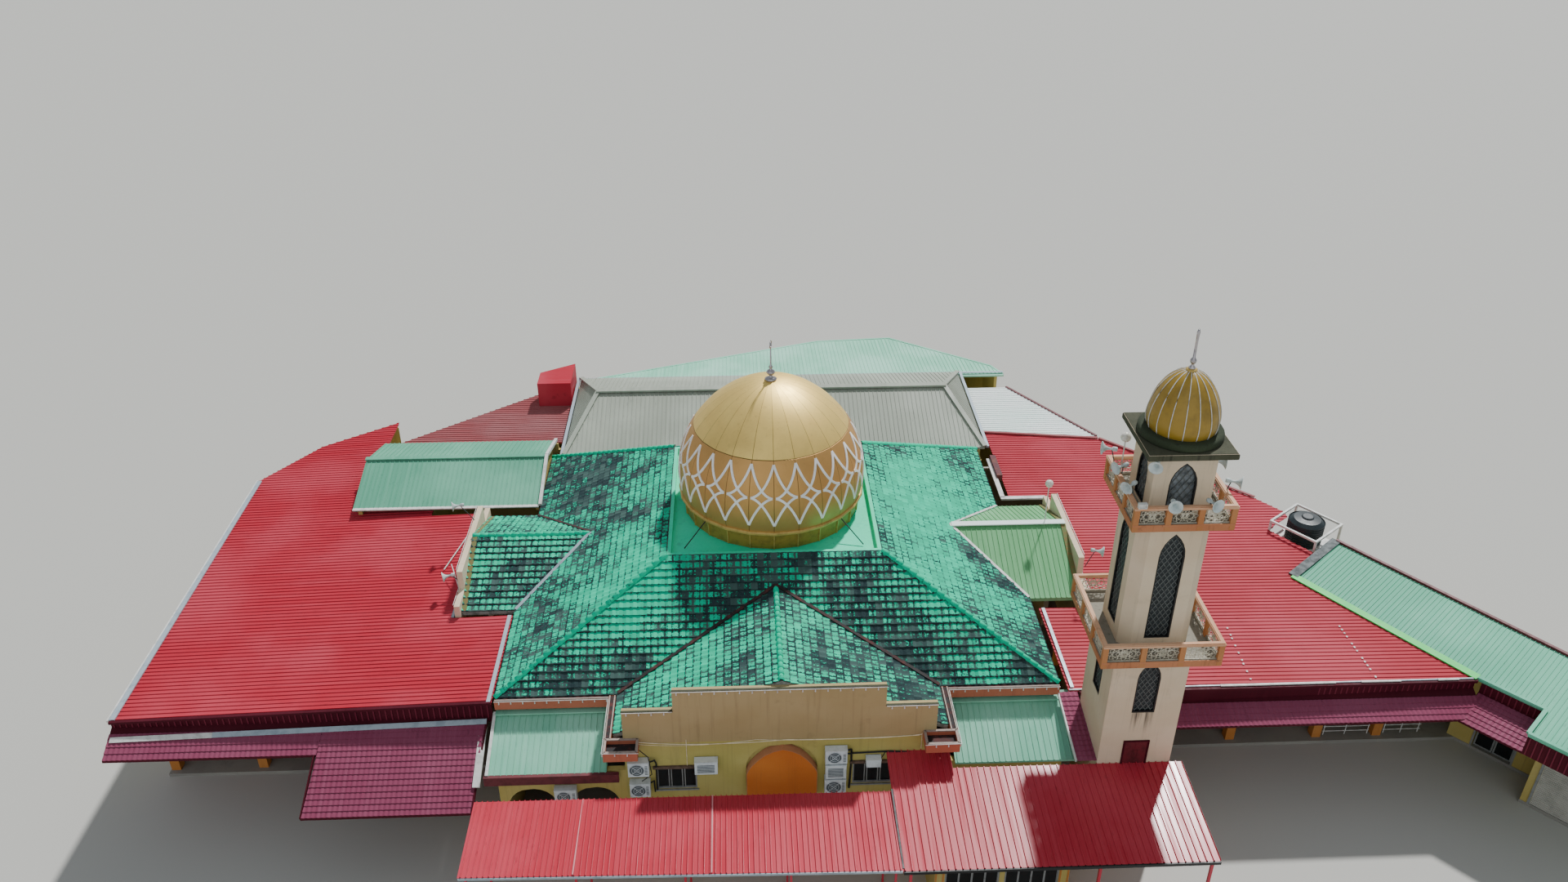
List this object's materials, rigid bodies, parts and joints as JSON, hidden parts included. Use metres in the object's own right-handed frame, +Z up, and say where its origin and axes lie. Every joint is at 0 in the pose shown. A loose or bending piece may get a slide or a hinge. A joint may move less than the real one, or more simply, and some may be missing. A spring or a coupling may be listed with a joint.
{
  "type": "mosque building, scale model at 1:2",
  "caption": "Mosque with a gold dome on a green tiled hip roof, low sheet-roofed wings, a stepped portico and a square minaret with two balconies.",
  "frame": {"origin": "on the ground under the middle of the prayer hall, below the dome", "axes": "+Z up, +X to the right of the front wall, -Y towards the forecourt in front of the portico"},
  "size_m": [32.0434, 21.905, 11.395],
  "materials": {
    "tile": "weathered green roof tile",
    "turquoise": "painted concrete",
    "gold": "gold painted sheet",
    "steel": "brushed",
    "red_sheet": "ribbed red roofing sheet",
    "maroon": "maroon tile-profile sheet",
    "green_sheet": "ribbed pale green roofing sheet",
    "beige_sheet": "ribbed grey-beige roofing sheet",
    "yellow_render": "painted render",
    "tan_render": "painted render",
    "cream_render": "painted render",
    "orange_paint": "painted concrete",
    "concrete": "bare concrete",
    "white_paint": "white paint",
    "door_glass": "dark tinted glass"
  },
  "bodies": {
    "building": {"annex_front": "maroon", "annex_roof": "green_sheet", "annex_shutter": "white_paint", "annex_walls": "yellow_render", "dome_finial": "steel", "dome_platform": "turquoise", "dome_shell": "gold", "front_gable_roof": "tile", "front_left_gutter": "orange_paint", "front_left_wall": "yellow_render", "front_right_gutter": "orange_paint", "front_right_wall": "yellow_render", "front_room_walls": "yellow_render", "hall_floor": "concrete", "hall_front_beams": "yellow_render", "hall_walls": "yellow_render", "left_canopy": "red_sheet", "left_gable_roof": "tile", "left_gable_wall": "cream_render", "left_gabled_roof": "green_sheet", "left_gabled_walls": "yellow_render", "left_lean_to_roof": "green_sheet", "left_rear_roof": "red_sheet", "left_veranda_posts": "orange_paint", "left_wing_floor": "concrete", "left_wing_front": "maroon", "left_wing_roof": "red_sheet", "left_wing_wall": "yellow_render", "lower_balcony": "orange_paint", "main_roof": "tile", "minaret_base": "cream_render", "minaret_dome": "gold", "minaret_kiosk": "cream_render", "minaret_shaft": "cream_render", "portico_wall": "tan_render", "rear_hall_roof": "beige_sheet", "rear_hall_walls": "yellow_render", "rear_lean_to_roof": "green_sheet", "rear_outer_wall": "yellow_render", "right_canopy": "red_sheet", "right_gable_roof": "green_sheet", "right_gable_wall": "cream_render", "right_lean_to_roof": "green_sheet", "right_rear_roof": "green_sheet", "right_veranda_posts": "orange_paint", "right_wing_floor": "concrete", "right_wing_front": "maroon", "right_wing_roof": "red_sheet", "right_wing_wall": "yellow_render", "upper_balcony": "orange_paint", "water_tank": "white_paint"},
    "left_leaf": {"annex_door_left": "door_glass"},
    "right_leaf": {"annex_door_right": "door_glass"}
  },
  "joints": [
    {"name": "annex_left_hinge", "type": "hinge", "parent": "building", "child": "left_leaf", "pos_m": [15.79245, -3.88521, 0.6], "axis": [0, 0, 1], "range_deg": [0, 90]},
    {"name": "annex_right_hinge", "type": "hinge", "parent": "building", "child": "right_leaf", "pos_m": [16.29704, -4.48656, 0.6], "axis": [0, 0, -1], "range_deg": [0, 90]}
  ]
}
